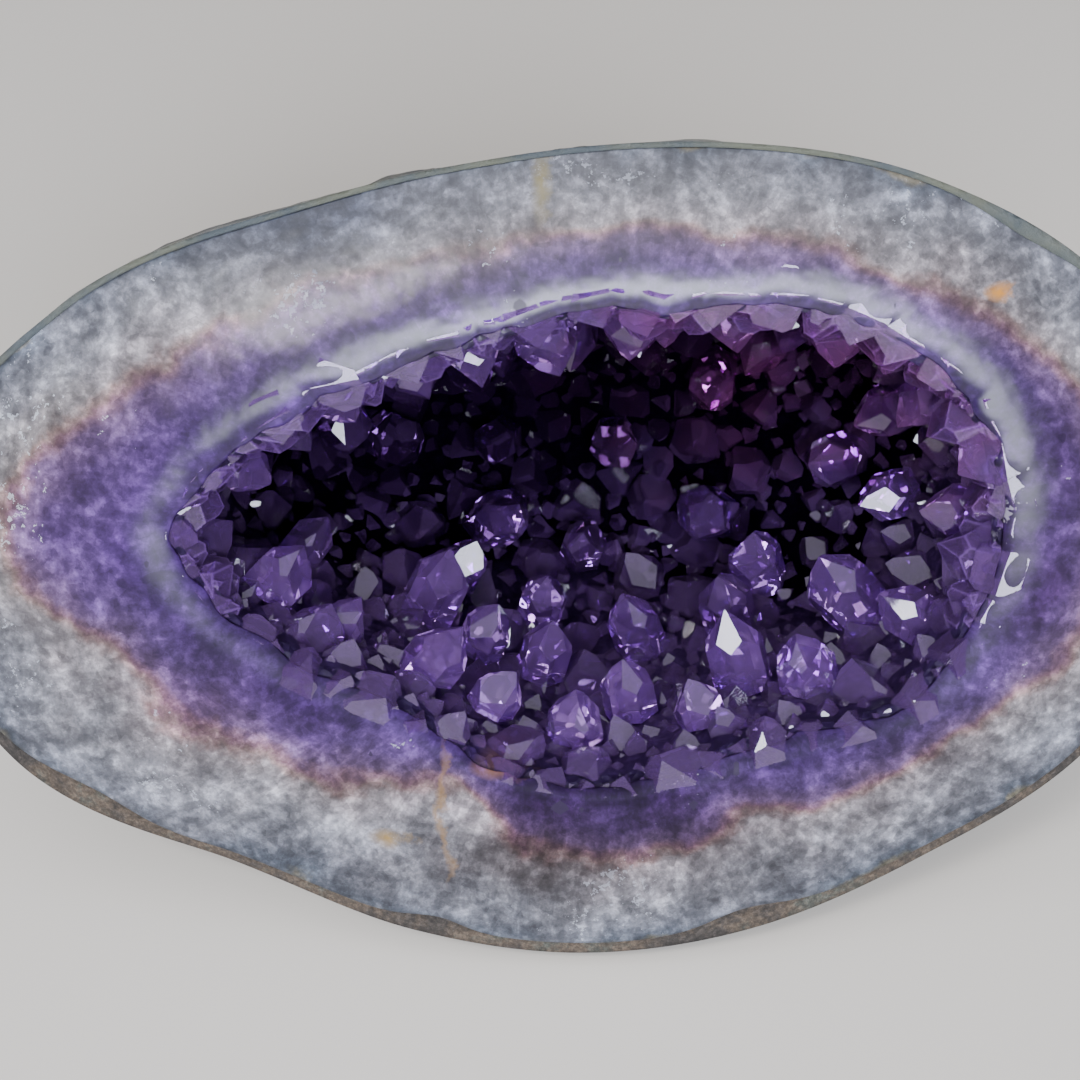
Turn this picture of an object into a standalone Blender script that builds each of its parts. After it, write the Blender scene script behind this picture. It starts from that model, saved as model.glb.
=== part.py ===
"""Amethyst geode half: a dark rind, a quartz wall with a polished domed face, and crystals in its cavity.

The face frame has x to the right, y up the face and z out of the face, with its origin at the
crown of the dome.  The half leans back on a flat sawn base that lies in the world's XY plane.
Angles round the face start at +x and run counter-clockwise.  Lengths below are millimetres.
"""

import math
import random

import bmesh
import bpy
from mathutils import Matrix, Vector, noise

MM = 0.001

# How the half stands.
LEAN = 32.0                     # the face leans back this far from upright, in degrees
FACE_ORIGIN = (3.0, -25.3, 58.5)  # the crown of the dome in the world, above the base
BASE_CUT = 0.0                  # height of the sawn base

# The outer edge of the face and the cavity's mouth: radii at sixteen even angles.
RIM_RADII = (86, 77, 64, 54, 49.5, 50.5, 58, 75, 92, 87, 69, 63, 61.5, 63, 68, 79)
MOUTH_RADII = (54, 51, 41, 31, 28, 27.5, 31.5, 41, 52, 41, 32, 31.5, 32.5, 33.5, 38, 51)

# The polished dome falls away from its crown towards the rim.
DROP_SIDE = 13.0
DROP_TOP = 12.0
DROP_BOTTOM = 7.0
DOME_POWER = 2.6

# The back of the stone.
DEPTH = 80.0                    # crown of the dome to the back
BACK_SHIFT = (-5.0, 8.0)        # the back's pole lies off the face's axis
BACK_POWER = 0.87               # below 1 is fuller than an ellipsoid
TOP_TUCK = 0.2                  # the top falls in behind the face by this share
KNOB_HEIGHT = 1.6               # rough lumps on the rind
KNOB_SPAN = 17.0

# The rind and the gap that touching pieces keep.
RIND_BOTTOM = 1.8               # thickness at the lower edge of the face
RIND_TOP = 0.7                  # and at its upper edge
RIND_BACK = 2.0                 # and behind the face
RIND_NOTCHES = ((209, 6, 3.0), (293, 7, 2.2), (250, 5, 1.6), (34, 6, 1.2))  # angle, half width, extra
GAP = 0.3

# The cavity.
CAVITY_DEPTH = 58.0
CAVITY_SHIFT = (-3.0, 3.0)
CAVITY_POWER = 0.78
CAVITY_BULGE = 0.07             # the cavity widens behind its mouth by this share
LIP_RADIUS = 5.0
LIP_REACH = 12.0                # the cavity's cutter stands this far out of the face
LIP_TILT = math.radians(45)     # the cutter's rolled lip ends and its cap begins at this tilt
CAP_POWER = 0.5                 # below 1 the cutter's cap is fuller than an ellipsoid

# Mesh counts and shading.
BODY_SEGMENTS = 48
BODY_RINGS = 26
CAVITY_SEGMENTS = 40
CAVITY_RINGS = 24
SHARP_EDGE = math.radians(40)   # edges that turn by more are shaded sharp

# Crystals in rows round the cavity: how far in (0 mouth, 90 back pole), how many, width, length.
CRYSTAL_ROWS = (
    (7, 19, 8.0, 9.0),
    (26, 14, 8.0, 11.0),
    (44, 11, 8.5, 12.0),
    (63, 7, 8.5, 12.0),
    (84, 2, 8.5, 12.0),
)
# Single large crystals on the floor of the cavity: angle, how far in, width, length.
FLOOR_CRYSTALS = (
    (285, 12, 8.5, 11.0),
    (312, 12, 9.5, 14.0),
    (293, 33, 9.5, 13.0),
    (316, 32, 9.5, 14.0),
    (335, 22, 9.0, 13.0),
    (262, 26, 9.0, 13.0),
    (225, 28, 9.0, 13.0),
)
FACE_SLOPE = 38.2               # a point's faces rise this far from the crystal's side, in degrees
FACE_UNEVENNESS = 0.45          # how much lower a small face may start than a large one
CRYSTAL_ROOT = 4.0              # length sunk in the wall before it is trimmed
CRYSTAL_SPREAD = 14.0           # largest tilt from the wall's normal, in degrees
CRYSTAL_STRAY = 12.0            # how far a crowded crystal may move from its place, in degrees
CRYSTAL_TRIES = 40
CRYSTAL_TAPER = 0.96            # a crystal's width at its tip over that at its root
CRYSTAL_CLEARANCE = 0.3         # kept between two crystals on top of GAP
AXIS_POINTS = 12                # points along a crystal that are kept clear of the others
CRYSTAL_SEED = 7

BASE_BLOCK = (0.4, 0.4, 0.1)    # the block that saws the base off, in metres


def curve_at(values, angle):
    """A smooth closed curve through values at even angles, read at an angle in radians."""
    count = len(values)
    place = (angle / math.tau) % 1.0 * count
    first = int(place) % count
    part = place - int(place)
    before, start, end, after = (values[(first + k - 1) % count] for k in range(4))
    slope_in = (end - before) / 2
    slope_out = (after - start) / 2
    square = part * part
    cube = square * part
    return (
        (2 * cube - 3 * square + 1) * start
        + (cube - 2 * square + part) * slope_in
        + (3 * square - 2 * cube) * end
        + (cube - square) * slope_out
    )


def rim_drop(angle):
    """How far the rim lies behind the crown of the dome."""
    rise = math.sin(angle)
    middle = DROP_TOP if rise > 0 else DROP_BOTTOM
    return DROP_SIDE + (middle - DROP_SIDE) * rise * rise


def dome_depth(angle, radius):
    """Depth of the polished face behind its crown."""
    return rim_drop(angle) * (radius / curve_at(RIM_RADII, angle)) ** DOME_POWER


def notch_at(angle):
    """Extra rind where the stone's edge is hollowed."""
    extra = 0.0
    for centre, width, height in RIND_NOTCHES:
        turn = (math.degrees(angle) - centre + 180) % 360 - 180
        extra += height * math.exp(-((turn / width) ** 2))
    return extra


def rind_inset(direction):
    """The rind's thickness where a unit direction meets the stone's skin."""
    angle = math.atan2(direction.y, direction.x)
    edge = RIND_BOTTOM + (RIND_TOP - RIND_BOTTOM) * (1 + math.sin(angle)) / 2 + notch_at(angle)
    behind = min(1.0, abs(direction.z) * 4)
    return edge + (RIND_BACK - edge) * behind


def body_point(direction, inset, stand_out):
    """A point of the stone's skin, or of a skin inset from it, for a unit direction in the face frame."""
    angle = math.atan2(direction.y, direction.x)
    tilt = math.asin(max(-1.0, min(1.0, direction.z)))
    edge = curve_at(RIM_RADII, angle)
    if tilt >= 0:
        radius = (edge - inset) * math.cos(tilt)
        depth = dome_depth(angle, radius) - stand_out * math.sin(tilt)
        return Vector((radius * math.cos(angle), radius * math.sin(angle), -depth))
    along = math.sin(-tilt) ** BACK_POWER
    across = math.cos(tilt) ** BACK_POWER * (1 - TOP_TUCK * max(0.0, math.sin(angle)) * along)
    depth = rim_drop(angle) + (DEPTH - rim_drop(angle)) * along
    x = edge * across * math.cos(angle) + BACK_SHIFT[0] * along
    y = edge * across * math.sin(angle) + BACK_SHIFT[1] * along
    skin = Vector((x, y, -depth))
    outwards = Vector((direction.x / edge, direction.y / edge, direction.z / DEPTH)).normalized()
    knob = noise.noise(skin / KNOB_SPAN) * KNOB_HEIGHT * min(1.0, 3 * along)
    return skin + outwards * (knob - inset)


def cavity_point(direction, inset):
    """A point of the cavity's skin, or of a skin inset from it, for a unit direction in the face frame."""
    angle = math.atan2(direction.y, direction.x)
    tilt = math.asin(max(-1.0, min(1.0, direction.z)))
    mouth = curve_at(MOUTH_RADII, angle) - inset
    mouth_depth = dome_depth(angle, mouth) + LIP_RADIUS
    if tilt >= 0:
        if tilt < LIP_TILT:
            turn = tilt / LIP_TILT * math.pi / 2
            radius = mouth + LIP_RADIUS * (1 - math.cos(turn))
            depth = mouth_depth - LIP_RADIUS * math.sin(turn)
        else:
            turn = (tilt - LIP_TILT) / (math.pi / 2 - LIP_TILT) * math.pi / 2
            radius = (mouth + LIP_RADIUS) * math.cos(turn) ** CAP_POWER
            depth = mouth_depth - LIP_RADIUS - LIP_REACH * math.sin(turn) ** CAP_POWER
        return Vector((radius * math.cos(angle), radius * math.sin(angle), -depth))
    across = math.cos(tilt) ** CAVITY_POWER * (1 + CAVITY_BULGE * math.sin(-2 * tilt))
    along = math.sin(-tilt) ** CAVITY_POWER
    depth = mouth_depth + (CAVITY_DEPTH - inset - mouth_depth) * along
    x = mouth * across * math.cos(angle) + CAVITY_SHIFT[0] * along
    y = mouth * across * math.sin(angle) + CAVITY_SHIFT[1] * along
    return Vector((x, y, -depth))


def facing(angle, tilt):
    """The unit direction at an angle round the face and a tilt behind it, both in degrees."""
    turn = math.radians(angle)
    back = math.radians(tilt)
    return Vector((math.cos(back) * math.cos(turn), math.cos(back) * math.sin(turn), -math.sin(back)))


def shaped_sphere(name, collection, segments, rings, place):
    """A UV sphere whose points are moved to place(direction), given in millimetres.

    Its quads are split the same way in every sphere, so that nested skins stay apart.
    """
    shape = bmesh.new()
    bmesh.ops.create_uvsphere(shape, u_segments=segments, v_segments=rings, radius=1.0)
    for vertex in shape.verts:
        vertex.co = place(vertex.co.normalized()) * MM
    bmesh.ops.triangulate(shape, faces=shape.faces, quad_method="FIXED")
    mesh = bpy.data.meshes.new(name)
    shape.to_mesh(mesh)
    shape.free()
    thing = bpy.data.objects.new(name, mesh)
    collection.objects.link(thing)
    return thing


def crystal_mesh(name, width, length, chance):
    """A six-sided prism cut to a point by six sloping faces, three of them larger than the rest.

    Its root is at the origin and its axis is +z.
    """
    shape = bmesh.new()
    radius = width / 2
    bmesh.ops.create_cone(
        shape,
        cap_ends=True,
        segments=6,
        radius1=radius,
        radius2=radius * CRYSTAL_TAPER,
        depth=length,
        matrix=Matrix.Translation((0, 0, length / 2)),
    )
    slope = math.radians(FACE_SLOPE)
    for side in range(6):
        turn = math.tau * (side + 0.5) / 6
        normal = Vector(
            (math.cos(turn) * math.cos(slope), math.sin(turn) * math.cos(slope), math.sin(slope))
        )
        lowered = chance.uniform(0, 0.1) if side % 2 == 0 else chance.uniform(0, FACE_UNEVENNESS)
        cut = bmesh.ops.bisect_plane(
            shape,
            geom=shape.verts[:] + shape.edges[:] + shape.faces[:],
            plane_co=Vector((0, 0, length - lowered * radius)),
            plane_no=normal,
            clear_outer=True,
        )
        rim = [item for item in cut["geom_cut"] if isinstance(item, bmesh.types.BMEdge)]
        bmesh.ops.contextual_create(shape, geom=rim)
    bmesh.ops.scale(shape, vec=(MM, MM, MM), verts=shape.verts)
    bmesh.ops.dissolve_degenerate(shape, dist=0.02 * MM, edges=shape.edges)
    bmesh.ops.recalc_face_normals(shape, faces=shape.faces)
    mesh = bpy.data.meshes.new(name)
    shape.to_mesh(mesh)
    shape.free()
    return mesh


def wall_normal(angle, tilt):
    """The cavity wall's normal, into the cavity, in the face frame."""
    step = 1.0
    here = cavity_point(facing(angle, tilt), 0)
    round_the_face = cavity_point(facing(angle + step, tilt), 0) - here
    inwards = cavity_point(facing(angle, tilt + step), 0) - here
    normal = inwards.cross(round_the_face).normalized()
    centre = Vector((0, 0, -CAVITY_DEPTH / 2))
    return normal if normal.dot(centre - here) > 0 else -normal


def principled(name, colour, roughness, transmission=0.0):
    """A material with one Principled shader."""
    material = bpy.data.materials.new(name)
    material.use_nodes = True
    shader = material.node_tree.nodes["Principled BSDF"]
    shader.inputs["Base Color"].default_value = (*colour, 1.0)
    shader.inputs["Roughness"].default_value = roughness
    shader.inputs["Metallic"].default_value = 0.0
    shader.inputs["Transmission Weight"].default_value = transmission
    material.diffuse_color = (*colour, 1.0)
    return material


def boolean(thing, cutter, operation):
    """Cuts or trims thing with cutter."""
    change = thing.modifiers.new(operation.lower(), "BOOLEAN")
    change.operation = operation
    change.solver = "EXACT"
    change.object = cutter


def smooth(thing):
    thing.data.shade_smooth()
    thing.data.set_sharp_from_angle(angle=SHARP_EDGE)


def new_collection(name):
    collection = bpy.data.collections.new(name)
    bpy.context.scene.collection.children.link(collection)
    return collection


def as_cutter(thing, parent=None):
    thing.hide_render = True
    thing.display_type = "WIRE"
    thing.parent = parent
    return thing


def make_base_cutter(cutters):
    """A block under the sawn base, in the world frame."""
    bpy.ops.mesh.primitive_cube_add(size=1.0)
    block = bpy.context.object
    block.name = "base_cutter"
    block.scale = BASE_BLOCK
    block.location = (0, 0, BASE_CUT * MM - BASE_BLOCK[2] / 2)
    for collection in block.users_collection:
        collection.objects.unlink(block)
    cutters.objects.link(block)
    return as_cutter(block)


def make_rind(parts, cutters, frame, base):
    """The dark crust: the stone's skin less the body of quartz inside it."""
    rind = shaped_sphere(
        "rind", parts, BODY_SEGMENTS, BODY_RINGS, lambda way: body_point(way, 0, 0)
    )
    core = shaped_sphere(
        "rind_core",
        cutters,
        BODY_SEGMENTS,
        BODY_RINGS,
        lambda way: body_point(way, rind_inset(way), LIP_REACH),
    )
    as_cutter(core, frame)
    rind.parent = frame
    boolean(rind, core, "DIFFERENCE")
    boolean(rind, base, "DIFFERENCE")
    smooth(rind)
    rind.data.materials.append(principled("rind_stone", (0.055, 0.048, 0.042), 0.75))
    return rind


def make_wall(parts, cutters, frame, base):
    """The quartz wall, grey outside and violet towards the cavity, grown as one piece."""
    wall = shaped_sphere(
        "quartz_wall",
        parts,
        BODY_SEGMENTS,
        BODY_RINGS,
        lambda way: body_point(way, rind_inset(way) + GAP, 0),
    )
    cavity = shaped_sphere(
        "cavity", cutters, CAVITY_SEGMENTS, CAVITY_RINGS, lambda way: cavity_point(way, 0)
    )
    as_cutter(cavity, frame)
    wall.parent = frame
    boolean(wall, cavity, "DIFFERENCE")
    boolean(wall, base, "DIFFERENCE")
    smooth(wall)
    wall.data.materials.append(principled("quartz_polished", (0.36, 0.33, 0.42), 0.12))
    return wall


def crystal_axis(angle, tilt, chance):
    """A root on the cavity's wall and a direction a little off the wall's normal, in the face frame."""
    normal = wall_normal(angle, tilt)
    lean = math.radians(chance.uniform(0, CRYSTAL_SPREAD))
    swing = Matrix.Rotation(chance.uniform(0, math.tau), 4, "Z") @ Matrix.Rotation(lean, 4, "X")
    turn = normal.to_track_quat("Z", "Y").to_matrix().to_4x4() @ swing
    return cavity_point(facing(angle, tilt), 0), turn


def stretch(root, turn, length):
    """Points along a crystal's axis, from its sunk root to its tip."""
    axis = (turn @ Vector((0, 0, 1, 0))).xyz
    step = (length + CRYSTAL_ROOT) / (AXIS_POINTS - 1)
    return [root + axis * (step * k - CRYSTAL_ROOT) for k in range(AXIS_POINTS)]


def is_clear(points, width, placed):
    """True if a crystal along points keeps its gap to every placed one."""
    for others, other_width in placed:
        apart = (width + other_width) / 2 + GAP + CRYSTAL_CLEARANCE
        if any((here - there).length < apart for here in points for there in others):
            return False
    return True


def crystal_spots(chance):
    """Places for crystals: a root, an orientation, a width and a length, all clear of each other."""
    wishes = list(FLOOR_CRYSTALS)
    for row, (tilt, count, width, length) in enumerate(CRYSTAL_ROWS):
        for place in range(count):
            angle = 360.0 * (place + 0.5 * (row % 2)) / count
            wishes.append((angle, tilt, width, length))
    placed = []
    spots = []
    for angle, tilt, width, length in wishes:
        size = chance.uniform(0.85, 1.15)
        for attempt in range(CRYSTAL_TRIES):
            stray = CRYSTAL_STRAY * attempt / CRYSTAL_TRIES
            root, turn = crystal_axis(
                angle + chance.uniform(-stray, stray), tilt + chance.uniform(-stray, stray) / 2, chance
            )
            points = stretch(root, turn, length * size)
            if is_clear(points, width * size, placed):
                placed.append((points, width * size))
                spots.append((root, turn, width * size, length * size))
                break
    return spots


def make_crystal(name, spot, room, parts, frame, material, chance):
    """One crystal, its root trimmed to the cavity's wall."""
    root, turn, width, length = spot
    thing = bpy.data.objects.new(name, crystal_mesh(name, width, length + CRYSTAL_ROOT, chance))
    parts.objects.link(thing)
    axis = (turn @ Vector((0, 0, 1, 0))).xyz
    thing.parent = frame
    thing.location = (root - axis * CRYSTAL_ROOT) * MM
    thing.rotation_euler = (turn @ Matrix.Rotation(chance.uniform(0, math.tau), 4, "Z")).to_euler()
    thing.data.materials.append(material)
    boolean(thing, room, "INTERSECT")


def make_crystals(parts, cutters, frame):
    """Rows of crystals round the cavity, and larger ones on its floor."""
    room = shaped_sphere(
        "cavity_room", cutters, CAVITY_SEGMENTS, CAVITY_RINGS, lambda way: cavity_point(way, GAP)
    )
    as_cutter(room, frame)
    material = principled("amethyst", (0.10, 0.02, 0.22), 0.05, 0.4)
    chance = random.Random(CRYSTAL_SEED)
    for number, spot in enumerate(crystal_spots(chance), 1):
        make_crystal(f"crystal_{number:02d}", spot, room, parts, frame, material, chance)


def main():
    for thing in list(bpy.data.objects):
        bpy.data.objects.remove(thing, do_unlink=True)
    parts = new_collection("geode_half")
    cutters = new_collection("cutters")
    frame = bpy.data.objects.new("face_frame", None)
    frame.location = Vector(FACE_ORIGIN) * MM
    frame.rotation_euler = (math.radians(90 - LEAN), 0, 0)
    parts.objects.link(frame)
    base = make_base_cutter(cutters)
    make_rind(parts, cutters, frame, base)
    make_wall(parts, cutters, frame, base)
    make_crystals(parts, cutters, frame)


main()
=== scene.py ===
"""Looks for the amethyst geode half: polished quartz wall, rough rind, and a cavity full of crystals.

The face frame is the one the CAD uses: x right, y up the face, z out of it, with its origin at the
crown of the dome.  Angles round the face start at +x and run counter-clockwise, in radians unless a
name says otherwise.  Lengths are millimetres until a mesh is made.
"""
import math
import random

import bmesh
import bpy
import numpy as np
from mathutils import Matrix, Vector


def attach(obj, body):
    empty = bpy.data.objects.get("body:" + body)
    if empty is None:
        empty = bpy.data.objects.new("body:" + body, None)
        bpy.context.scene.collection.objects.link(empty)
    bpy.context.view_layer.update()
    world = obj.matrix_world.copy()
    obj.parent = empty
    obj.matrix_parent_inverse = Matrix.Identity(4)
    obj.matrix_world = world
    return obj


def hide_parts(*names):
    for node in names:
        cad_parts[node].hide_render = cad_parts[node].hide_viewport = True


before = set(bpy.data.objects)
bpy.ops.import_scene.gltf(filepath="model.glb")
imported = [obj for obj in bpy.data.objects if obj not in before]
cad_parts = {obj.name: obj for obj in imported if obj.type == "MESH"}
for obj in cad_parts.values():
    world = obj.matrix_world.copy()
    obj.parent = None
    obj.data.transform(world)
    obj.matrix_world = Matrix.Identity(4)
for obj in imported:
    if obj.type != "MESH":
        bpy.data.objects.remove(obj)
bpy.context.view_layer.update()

MM = 0.001

# ---------------------------------------------------------------- the stone's shape, as in the CAD
LEAN = 32.0
FACE_ORIGIN = Vector((3.0, -25.3, 58.5))
RIM_RADII = (86, 77, 64, 54, 49.5, 50.5, 58, 75, 92, 87, 69, 63, 61.5, 63, 68, 79)
MOUTH_RADII = (54, 51, 41, 31, 28, 27.5, 31.5, 41, 52, 41, 32, 31.5, 32.5, 33.5, 38, 51)
DROP_SIDE = 13.0
DROP_TOP = 12.0
DROP_BOTTOM = 7.0
DOME_POWER = 2.6
DEPTH = 80.0
BACK_SHIFT = (-5.0, 8.0)
BACK_POWER = 0.87
TOP_TUCK = 0.2
RIND_BOTTOM = 1.8
RIND_TOP = 0.7
RIND_BACK = 2.0
RIND_BACK_ONSET = 4.0             # how fast the rind reaches its thickness behind the rim
RIND_NOTCHES = ((209, 6, 3.0), (293, 7, 2.2), (250, 5, 1.6), (34, 6, 1.2))
CAVITY_DEPTH = 58.0
CAVITY_SHIFT = (-3.0, 3.0)
CAVITY_POWER = 0.78
CAVITY_BULGE = 0.07
LIP_DEPTH = 3.4
LIP_WIDTH_TOP = 14.0
LIP_WIDTH_BOTTOM = 3.5

# Unevenness that the CAD leaves out: height, span of the lumps and seed of each noise.
BAYS = (1.3, 15.0, 41)            # wide bays of the mouth's edge
TEETH = (1.1, 5.0, 42)            # the crystals' teeth in it
POLISH_WAVES = ((10.0, 6.0, 21), (7.0, 2.4, 22))   # where the polish ends, in degrees of turn
BED_LUMPS = (0.012, 4.0, 31)      # a share of the radius
CRUST = (15.0, 5, 3)              # span, layers and seed of the rind's relief, 1 mm high
CRUST_PITS = ((1.0, 5.5, 51, 0.15), (0.5, 2.6, 52, 0.3))   # height, span, seed and least noise
CRUST_PIT_DEPTH = 1.5

# Where grey quartz gives way to amethyst on the face: radii at twenty-four even angles.
BAND_RADII = (72, 68, 58, 49.5, 44, 40.5, 38.5, 39.5, 42, 46.5, 53, 66,
              78, 63, 55, 45, 37, 41.5, 44, 45, 43.5, 52, 57, 68)

# ---------------------------------------------------------------- camera
CAMERA_ELEVATION = 47.0           # degrees
CAMERA_DISTANCE = 200.0
FACE_OFF_CENTRE = (5.74, -1.02)   # the crown of the dome in the view, right and up of its centre
FOCAL_SHARE = 1.452               # focal length over the sensor's width

SEED = 11


# ---------------------------------------------------------------- formulas
def curve_at(values, angle):
    """A smooth closed curve through values at even angles, read at an array of angles."""
    values = np.asarray(values, float)
    count = len(values)
    place = (np.asarray(angle, float) / math.tau) % 1.0 * count
    first = np.floor(place).astype(int)
    part = place - first
    before, start, end, after = (values[(first + k - 1) % count] for k in range(4))
    slope_in = (end - before) / 2
    slope_out = (after - start) / 2
    square = part * part
    cube = square * part
    return (
        (2 * cube - 3 * square + 1) * start
        + (cube - 2 * square + part) * slope_in
        + (3 * square - 2 * cube) * end
        + (cube - square) * slope_out
    )


def lattice(cells, seed):
    """A pseudo-random number from 0 to 1 for each whole-numbered cell."""
    x, y, z = (cells[..., k].astype(np.uint64) for k in range(3))
    mix = x * np.uint64(73856093) ^ y * np.uint64(19349663) ^ z * np.uint64(83492791)
    mix = mix ^ np.uint64(seed * 2654435761 % 2**32)
    mix = (mix ^ (mix >> np.uint64(13))) * np.uint64(1274126177)
    mix = (mix ^ (mix >> np.uint64(16))) & np.uint64(0xFFFFFF)
    return mix.astype(float) / 0xFFFFFF


def value_noise(points, span, seed):
    """Smooth noise from -1 to 1, with lumps about span wide."""
    place = np.asarray(points, float) / span + 512.0
    cell = np.floor(place)
    part = place - cell
    part = part * part * (3 - 2 * part)
    total = 0.0
    for corner in np.ndindex(2, 2, 2):
        weight = np.prod(np.where(np.array(corner), part, 1 - part), axis=-1)
        total = total + weight * lattice(cell + np.array(corner), seed)
    return 2 * total - 1


def layered_noise(points, span, layers, seed):
    """Noise with finer layers added, each half as wide and half as strong."""
    total = 0.0
    for layer in range(layers):
        total = total + value_noise(points, span / 2**layer, seed + layer) / 2**layer
    return total


def rim_radius(angle):
    return curve_at(RIM_RADII, angle)


def mouth_radius(angle):
    return curve_at(MOUTH_RADII, angle)


def rim_drop(angle):
    """How far the rim lies below the dome's crown."""
    rise = np.sin(angle)
    middle = np.where(rise > 0, DROP_TOP, DROP_BOTTOM)
    return DROP_SIDE + (middle - DROP_SIDE) * rise * rise


def dome_depth(angle, radius):
    """How far the dome lies below its crown."""
    return rim_drop(angle) * (radius / rim_radius(angle)) ** DOME_POWER


def rind_inset(angle, tilt):
    """The rind's thickness, tilt running from 0 at the rim to a quarter turn at the back's pole."""
    notch = 0.0
    for centre, width, height in RIND_NOTCHES:
        turn = (np.degrees(angle) - centre + 180) % 360 - 180
        notch = notch + height * np.exp(-((turn / width) ** 2))
    edge = RIND_BOTTOM + (RIND_TOP - RIND_BOTTOM) * (1 + np.sin(angle)) / 2 + notch
    behind = np.minimum(1.0, np.sin(tilt) * RIND_BACK_ONSET)
    return edge + (RIND_BACK - edge) * behind


def polar(radius, angle, depth):
    return np.stack([radius * np.cos(angle), radius * np.sin(angle), -depth], axis=-1)


def back_skin(angle, tilt, inset):
    """The stone's skin behind the face, tilt running from 0 at the rim to a quarter turn at the pole."""
    edge = rim_radius(angle)
    along = np.sin(tilt) ** BACK_POWER
    across = np.cos(tilt) ** BACK_POWER * (1 - TOP_TUCK * np.maximum(0, np.sin(angle)) * along)
    depth = rim_drop(angle) + (DEPTH - rim_drop(angle)) * along
    skin = polar(edge * across, angle, depth)
    skin = skin + np.stack([BACK_SHIFT[0] * along, BACK_SHIFT[1] * along, 0 * along], axis=-1)
    way = polar(np.cos(tilt) / edge, angle, np.sin(tilt) / DEPTH)
    way = way / np.linalg.norm(way, axis=-1, keepdims=True)
    return skin - way * np.asarray(inset)[..., None]


def cavity_skin(angle, tilt):
    """The cavity's wall, tilt running from 0 at the mouth to a quarter turn at its back pole."""
    smooth = mouth_radius(angle)
    mouth = smooth + (ragged_mouth(angle) - smooth) * np.cos(tilt) ** 4
    mouth_depth = dome_depth(angle, mouth) + LIP_DEPTH
    across = np.cos(tilt) ** CAVITY_POWER * (1 + CAVITY_BULGE * np.sin(2 * tilt))
    along = np.sin(tilt) ** CAVITY_POWER
    depth = mouth_depth + (CAVITY_DEPTH - mouth_depth) * along
    skin = polar(mouth * across, angle, depth)
    return skin + np.stack([CAVITY_SHIFT[0] * along, CAVITY_SHIFT[1] * along, 0 * along], axis=-1)


def ragged_mouth(angle):
    """The mouth's radius with the bays and teeth that the crystals give it."""
    mouth = mouth_radius(angle)
    edge = polar(mouth, np.asarray(angle, float), 0 * mouth)
    height, span, seed = BAYS
    bays = height * value_noise(edge, span, seed)
    height, span, seed = TEETH
    teeth = height * (0.5 - np.abs(value_noise(edge, span, seed)))
    return mouth + bays + teeth


def lip_width(angle):
    """How broad the rolled lip is, seen from the front."""
    rise = (1 + np.sin(angle)) / 2
    return LIP_WIDTH_BOTTOM + (LIP_WIDTH_TOP - LIP_WIDTH_BOTTOM) * rise


def lip_skin(angle, turn):
    """The rolled lip, turn running from 0 at the cavity's wall to a quarter turn at the dome."""
    mouth = mouth_radius(angle)
    teeth = (ragged_mouth(angle) - mouth) * np.cos(turn)
    radius = mouth + teeth + lip_width(angle) * (1 - np.cos(turn))
    return polar(radius, angle, dome_depth(angle, radius) + LIP_DEPTH * (1 - np.sin(turn)))


TO_WORLD = Matrix.Translation(FACE_ORIGIN) @ Matrix.Rotation(math.radians(90 - LEAN), 4, "X")
TURN = np.array(TO_WORLD.to_3x3())
SHIFT = np.array(FACE_ORIGIN)


def to_world(points):
    return points @ TURN.T + SHIFT


def face_piece(name, verts, faces):
    """An object from points of the face frame."""
    mesh = bpy.data.meshes.new(name)
    mesh.from_pydata((to_world(verts) * MM).tolist(), [], faces)
    mesh.update()
    piece = bpy.data.objects.new(name, mesh)
    bpy.context.scene.collection.objects.link(piece)
    return piece


def grid_mesh(name, points):
    """A closed mesh from rows of points round the axis, with one point at each end."""
    rows, columns = points.shape[:2]
    ends = np.stack([points[0].mean(axis=0), points[-1].mean(axis=0)])
    index = np.arange(rows * columns).reshape(rows, columns)
    after = np.roll(index, -1, axis=1)
    quads = np.stack([index[:-1], after[:-1], after[1:], index[1:]], axis=-1).reshape(-1, 4)
    first, last = rows * columns, rows * columns + 1
    faces = quads.tolist()
    faces += [[first, after[0, k], index[0, k]] for k in range(columns)]
    faces += [[last, index[-1, k], after[-1, k]] for k in range(columns)]
    return face_piece(name, np.concatenate([points.reshape(-1, 3), ends]), faces)


def put_attribute(piece, name, values):
    store = piece.data.attributes.new(name, "FLOAT", "POINT")
    store.data.foreach_set("value", np.asarray(values, np.float32).ravel())


# ---------------------------------------------------------------- pieces
WALL_COLUMNS = 720
BED_ROWS = 26
LIP_ROWS = 34
DOME_ROWS = 52
BACK_ROWS = 9
LAST_TILT = 88.0                # a skin's last row before its pole, in degrees
INNER_TILT = 4.0                # the first row of a skin behind the face
BACK_ZONE = 1.7                 # the hidden back's place in the quartz's bands
SKIN_GAP = 0.05                 # between the wall's skin and the rind's
EDGE_BLEND = 5.0                # the turn over which the unpolished edge comes up to the polish
EDGE_TURN_TOP = 16.0            # the turn of the rolled lip where the polish starts, in degrees
EDGE_TURN_BOTTOM = 42.0
EDGE_SINK = 1.0                 # the unpolished edge lies this much lower
POLISH_TURNS = (26.0, 50.0, 75.0)  # where the polish's tangent planes trim the crystals
FLAT_TURN = 89.9                # on the lower lip only the dome's own plane does
LOWER_LIP = -0.3                # the lip counts as lower where the angle's sine is below this
POLISH_SINK = 0.1
BASE_SLACK = 1e-6               # how far off the base plane a flat face may lie, in metres
FACING_DOWN = -0.999            # and the z of its normal at most


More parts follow.
